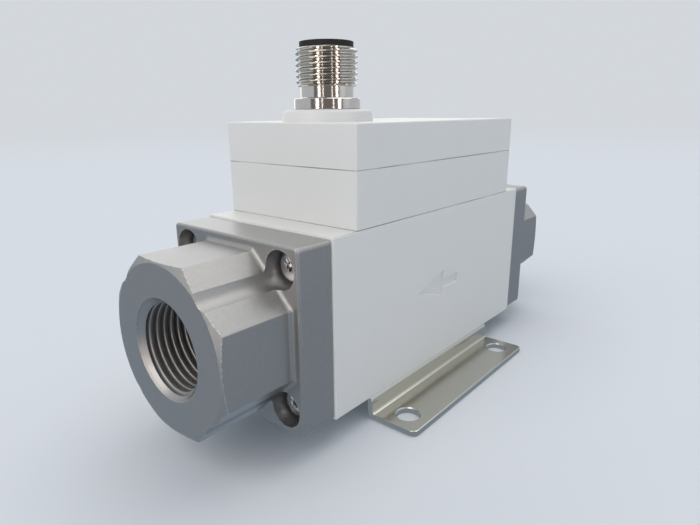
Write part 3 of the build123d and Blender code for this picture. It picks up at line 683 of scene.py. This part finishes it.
# Lighter colour along the edges: part rubbed wear, part a painted highlight where the edges catch the
# light.
worn_and_highlit = group_node(tree, wear_and_highlight_group, {"Vector": place, "Size": 0.3 * MM, "Amount": 0.8}).outputs[0]
shade = shader.inputs["Base Color"].links[0].from_socket
bright = add(tree, "ShaderNodeMix", {0: worn_and_highlit, 6: shade, 7: RUBBED_AND_HIGHLIT}, data_type="RGBA")
feed(tree, shader.inputs["Base Color"], bright.outputs[2])
# Painted shade in the hairline gap where each port's plate meets the body's end.
shade_seams(tree, shader, place, end_seam_shade, 0.8)
grain = group_node(tree, grain_group, {"Vector": place, "Size": 0.22 * MM, "Crispness": 0.7})
bump(tree, shader, grain.outputs[0], 0.012 * MM)
print("material:", cast_metal.name)

# %% Cut thread in the casting
thread_metal, tree, shader, place = new_material("cut_thread", (0.40, 0.39, 0.38), 0.36, metallic=0.8)
lines = group_node(tree, lines_group, {"Vector": place, "Stretch": (1, 0.05, 0.05), "Size": 0.1 * MM})
bump(tree, shader, lines.outputs[0], 0.004 * MM)
print("material:", thread_metal.name)

# %% Plated bracket sheet
bracket_metal, tree, shader, place = new_material("bracket_steel", (0.57, 0.56, 0.50), 0.20, metallic=1.0)
lines = group_node(tree, lines_group, {"Vector": place, "Stretch": (0.04, 1, 1), "Size": 0.12 * MM})
bump(tree, shader, lines.outputs[0], 0.002 * MM)
print("material:", bracket_metal.name)

# %% Bright screws
screw_metal, tree, shader, place = new_material("screw_steel", (0.86, 0.86, 0.86), 0.10, metallic=1.0)
grain = group_node(tree, grain_group, {"Vector": place, "Size": 0.8 * MM, "Crispness": 0.4})
bump(tree, shader, grain.outputs[0], 0.08 * MM)
print("material:", screw_metal.name)

# %% Nickel plate
nickel, tree, shader, place = new_material("connector_metal", (0.60, 0.58, 0.54), 0.12, metallic=1.0)
lines = group_node(tree, lines_group, {"Vector": place, "Stretch": (0.05, 0.05, 1), "Size": 0.08 * MM})
bump(tree, shader, lines.outputs[0], 0.001 * MM)
print("material:", nickel.name)

# %% Plain finishes of the smaller pieces
plain = {
    "insert_resin": new_material("insert_resin", (0.003, 0.003, 0.004), 0.7),
    "contact_metal": new_material("contact_metal", (0.83, 0.62, 0.28), 0.22, metallic=1.0),
    "seal_rubber": new_material("seal_rubber", (0.02, 0.02, 0.02), 0.6),
    "gasket_rubber": new_material("gasket_rubber", (0.06, 0.06, 0.06), 0.7),
    "board_laminate": new_material("board_laminate", (0.015, 0.13, 0.05), 0.35),
    "chip_resin": new_material("chip_resin", (0.02, 0.02, 0.02), 0.5),
    "sensor_resin": new_material("sensor_resin", (0.10, 0.08, 0.05), 0.4),
    "sensor_ceramic": new_material("sensor_ceramic", (0.72, 0.70, 0.62), 0.5),
    "stainless": new_material("stainless", (0.62, 0.61, 0.59), 0.3, metallic=1.0),
}
for name, (material, tree, shader, place) in plain.items():
    grain = group_node(tree, grain_group, {"Vector": place, "Size": 0.25 * MM, "Crispness": 0.6})
    bump(tree, shader, grain.outputs[0], 0.003 * MM)
print("materials:", sorted(plain))

# %% [markdown]
# ## Dress the solids
#
# The record gives each CAD node a material slot. The finish with that slot's name takes the place of
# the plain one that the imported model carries, and the new pieces take theirs the same way.

# %% Give every piece its finish
finishes = {name: made[0] for name, made in plain.items()}
finishes |= {
    "body_resin": white_resin, "port_metal": cast_metal, "bracket_steel": bracket_metal,
    "screw_steel": screw_metal, "connector_metal": nickel,
}
for part in frame["record"]["subparts"]:
    nodes[part["node"]].data.materials[0] = finishes[part["material_slot"]]
for piece, material in (
    (shell, nickel), (outlet_screws, screw_metal), (inlet_screws, screw_metal),
    (bracket_screws, screw_metal), (sleeves[0], thread_metal), (sleeves[1], thread_metal),
):
    piece.data.materials.clear()
    piece.data.materials.append(material)

# %% [markdown]
# ## The studio
#
# The part stands on a plain pale floor that runs to the horizon. The floor is matt, so that it
# mirrors nothing.

# %% Floor
deselect()
bpy.ops.mesh.primitive_plane_add(size=8, location=(0, 0, -0.02 * MM))
floor = bpy.context.object
floor.name = "floor"
floor_paint = bpy.data.materials.new("floor_paint")
floor_paint.use_nodes = True
paint = floor_paint.node_tree.nodes["Principled BSDF"].inputs
paint["Base Color"].default_value = (0.69, 0.72, 0.76, 1)
paint["Roughness"].default_value = 0.8
paint["Specular IOR Level"].default_value = 0.0
floor.data.materials.append(floor_paint)
print("stage:", floor.name)

# %% [markdown]
# Behind the floor is one even backdrop. The camera and the reflections see it as it is, and the
# light that it gives to the room is set apart, so that the shade can be tuned without changing it.

# %% World
BACKDROP = (0.65, 0.68, 0.72, 1)
AMBIENT = (0.90, 0.98, 1.10, 1)
world = bpy.data.worlds.new("studio")
bpy.context.scene.world = world
world.use_nodes = True
tree = world.node_tree
tree.nodes.clear()
rays = add(tree, "ShaderNodeLightPath").outputs
backdrop = add(tree, "ShaderNodeBackground", {"Color": BACKDROP, "Strength": 1.0})
ambient = add(tree, "ShaderNodeBackground", {"Color": AMBIENT, "Strength": 0.45})
seen = calc(tree, "MAXIMUM", rays["Is Camera Ray"], rays["Is Glossy Ray"])
seen = calc(tree, "MAXIMUM", seen, rays["Is Transmission Ray"])
chosen = add(tree, "ShaderNodeMixShader", {0: seen, 1: ambient.outputs[0], 2: backdrop.outputs[0]})
add(tree, "ShaderNodeOutputWorld", {"Surface": chosen.outputs[0]})
print("world:", world.name)

# %% [markdown]
# A horizon line would cut the picture in two. So the floor turns into the backdrop's own colour with
# distance, for the camera only.

# %% Let the floor fade into the backdrop
FADE_START, FADE_END = 0.35, 1.6
tree = floor_paint.node_tree
spot = add(tree, "ShaderNodeTexCoord").outputs["Object"]
reach = add(tree, "ShaderNodeVectorMath", {0: spot}, operation="LENGTH").outputs["Value"]
fade = add(tree, "ShaderNodeMapRange", {"Value": reach, "From Min": FADE_START, "From Max": FADE_END},
           interpolation_type="SMOOTHSTEP").outputs[0]
glow = add(tree, "ShaderNodeEmission", {"Color": BACKDROP})
rays = add(tree, "ShaderNodeLightPath").outputs
fade = calc(tree, "MULTIPLY", fade, rays["Is Camera Ray"])
blend = add(tree, "ShaderNodeMixShader", {
    0: fade, 1: tree.nodes["Principled BSDF"].outputs[0], 2: glow.outputs[0]})
feed(tree, tree.nodes["Material Output"].inputs["Surface"], blend.outputs[0])
print("floor fades from", FADE_START, "to", FADE_END, "m")

# %% [markdown]
# Four wide lamps light the part. The strongest two come from above and from the left, where the
# photograph's tops and left faces are brightest. One from behind skims the top edges, and a weak
# cool one lifts the front. Their wide spread keeps the shadows soft.


# %% Soft distant lamps
def distant_lamp(name, direction, strength, spread, color):
    """Lamp far away in the given direction from the part, as wide as its spread in degrees."""
    deselect()
    bpy.ops.object.light_add(type="SUN", location=direction)
    lamp = bpy.context.object
    lamp.name = name
    lamp.rotation_euler = (-Vector(direction)).to_track_quat("-Z", "Y").to_euler()
    lamp.data.energy = strength
    lamp.data.angle = radians(spread)
    lamp.data.color = color
    return lamp


distant_lamp("overhead", (0.40, -0.10, 0.90), 0.80, 50, (1.0, 0.965, 0.92))
distant_lamp("side", (-0.75, 0.05, 0.66), 1.15, 60, (1.0, 0.95, 0.885))
distant_lamp("back", (0.50, 0.70, 0.40), 0.6, 60, (1.0, 0.99, 0.95))
distant_lamp("fill", (0.35, -0.80, 0.50), 0.15, 60, (0.88, 0.94, 1.0))

# %% [markdown]
# Bright nickel shows whatever stands round it. As a photographer hangs dark and white cards beside the
# lens, glowing cards here give a round shiny piece a dark middle between bright streaks. A dark glowing
# mat on the floor does the same for the upright faces of the castings. The cards and the mat are seen
# by reflections only, so they are painted reflections, and they never block the picture or the light.

# %% Cards that only reflections see
CARD_HEIGHT = 0.30
CARD_REACH = 0.20
STREAK_REACH = 0.19
WARM = (1.0, 0.91, 0.89)
MAT_REFLECTION_COLOR = (0.28, 0.345, 0.43)
CAMERA_SIDE = 229.8


def card(name, turn, place, size, color):
    """Glowing card of a size (width, height) at a place; only reflections see it."""
    deselect()
    bpy.ops.mesh.primitive_plane_add(size=1)
    sheet = bpy.context.object
    sheet.name = name
    sheet.rotation_euler = turn
    sheet.scale = (*size, 1)
    sheet.location = place
    paint = bpy.data.materials.new(name)
    paint.use_nodes = True
    paint.node_tree.nodes.clear()
    glow = add(paint.node_tree, "ShaderNodeEmission", {"Color": (*color, 1)})
    add(paint.node_tree, "ShaderNodeOutputMaterial", {"Surface": glow.outputs[0]})
    sheet.data.materials.append(paint)
    sheet.visible_camera = sheet.visible_diffuse = sheet.visible_shadow = False
    return sheet


def standing_card(name, bearing, reach, width, strength):
    """Upright card at a bearing in degrees from +Y towards +X, and at a reach from the connector."""
    away = Vector((sin(radians(bearing)), cos(radians(bearing)), 0))
    place = Vector((connector_x, 0, 0)) + away * reach
    return card(name, away.to_track_quat("Z", "Y").to_euler(), place, (width, CARD_HEIGHT),
                [strength * part for part in WARM])


# Painted reflections: one dark card and four glowing streaks that only reflections see.
standing_card("painted_dark_reflection_card", CAMERA_SIDE, CARD_REACH, 0.60, 0.20)
highlight_streaks = [(32, 0.028, 5.0), (-44, 0.028, 5.0), (15, 0.006, 4.0), (-23, 0.006, 4.0)]
for number, (bearing, width, strength) in enumerate(highlight_streaks):
    standing_card(f"painted_streak_card_{number}", CAMERA_SIDE + bearing, STREAK_REACH, width, strength)
# Painted reflection of a dark mat, seen on the upright faces of the castings.
card("painted_dark_reflection_mat", (0, 0, 0), (0, 0, 0), (4.0, 4.0), MAT_REFLECTION_COLOR)
print("streak cards:", len(highlight_streaks))

# %% [markdown]
# ## The camera
#
# The place and aim were measured from the edges of the body in the photograph, so that the render
# has the same perspective.

# %% Camera
CAMERA_PLACE = (-0.09683, -0.07184, 0.05790)
CAMERA_HEADING = radians(49.79)
CAMERA_DROP = radians(15.916)
CAMERA_ROLL = radians(0.476)
deselect()
bpy.ops.object.camera_add(location=CAMERA_PLACE)
camera = bpy.context.object
camera.matrix_world = (
    Matrix.Translation(CAMERA_PLACE)
    @ Matrix.Rotation(-CAMERA_HEADING, 4, "Z")
    @ Matrix.Rotation(pi / 2 - CAMERA_DROP, 4, "X")
    @ Matrix.Rotation(-CAMERA_ROLL, 4, "Z")
)
camera.data.lens = 27.18
camera.data.sensor_width = 36
camera.data.clip_start = MM
bpy.context.scene.camera = camera
bpy.context.scene.view_settings.view_transform = "Standard"
print("camera at", [round(value, 4) for value in camera.location])
